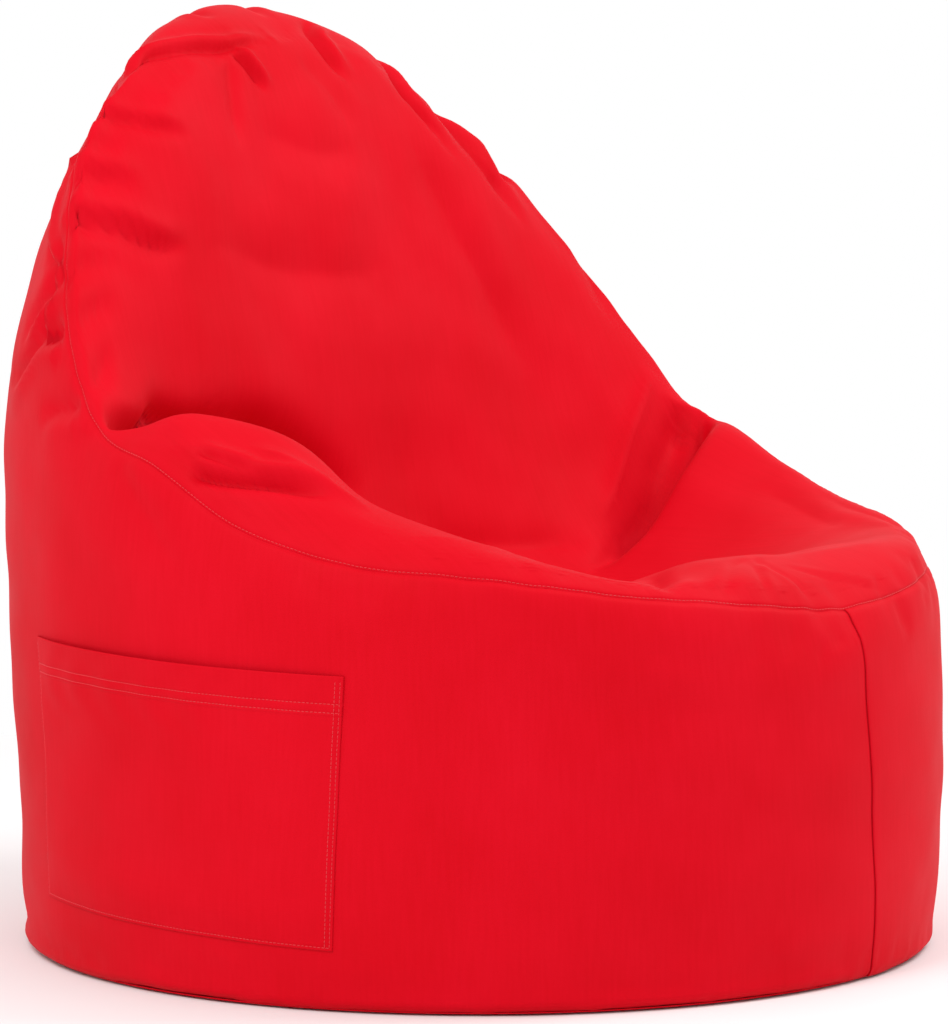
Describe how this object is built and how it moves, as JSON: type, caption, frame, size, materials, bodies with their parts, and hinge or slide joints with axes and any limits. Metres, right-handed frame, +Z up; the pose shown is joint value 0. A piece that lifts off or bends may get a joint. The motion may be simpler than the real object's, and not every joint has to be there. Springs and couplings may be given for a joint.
{
  "type": "bean bag chair",
  "caption": "High-backed bucket-seat bean bag chair with a round flat base, low arms, a side patch pocket and a zipped removable cover over a bead-filled liner.",
  "frame": {"origin": "centre of the round base panel's underside, on the floor", "axes": "+Z up; the sitter faces -Y; +X is the sitter's left, and the pocket is on -X"},
  "size_m": [0.909, 0.8909, 0.9048],
  "materials": {
    "cover_cloth": "fine plain weave, satin",
    "liner_cloth": "plain weave, matt",
    "polystyrene_beads": "expanded beads, matt",
    "zip_tape": "herringbone tape, matt",
    "zip_teeth": "moulded, semi-gloss",
    "zip_metal": "dark plated, satin",
    "liner_zip_tape": "herringbone tape, matt",
    "liner_zip_teeth": "moulded, semi-gloss"
  },
  "bodies": {
    "bag": {"seat_back_panel": "cover_cloth", "left_side_panel": "cover_cloth", "right_side_panel": "cover_cloth", "base_panel": "cover_cloth", "side_pocket": "cover_cloth", "inner_liner": "liner_cloth", "bead_fill": "polystyrene_beads", "zip_tape_left": "zip_tape", "zip_tape_right": "zip_tape", "zip_teeth_left": "zip_teeth", "zip_teeth_right": "zip_teeth", "zip_top_stop": "zip_metal", "zip_bottom_stop": "zip_metal", "liner_zip_tape_left": "liner_zip_tape", "liner_zip_tape_right": "liner_zip_tape", "liner_zip_teeth_left": "liner_zip_teeth", "liner_zip_teeth_right": "liner_zip_teeth"},
    "cover_slider": {"zip_slider": "zip_metal"},
    "cover_pull": {"zip_pull": "zip_metal"},
    "liner_slider": {"liner_zip_slider": "zip_metal"}
  },
  "joints": [
    {"name": "cover_zip", "type": "slide", "parent": "bag", "child": "cover_slider", "axis": [0, 0, -1], "range_m": [0, 0.362]},
    {"name": "pull_swing", "type": "hinge", "parent": "cover_slider", "child": "cover_pull", "pos_m": [0, 0.4459, 0.468], "axis": [1, 0, 0], "range_deg": [0, 170]},
    {"name": "liner_zip", "type": "slide", "parent": "bag", "child": "liner_slider", "axis": [0, 0, -1], "range_m": [0, 0.245]}
  ]
}
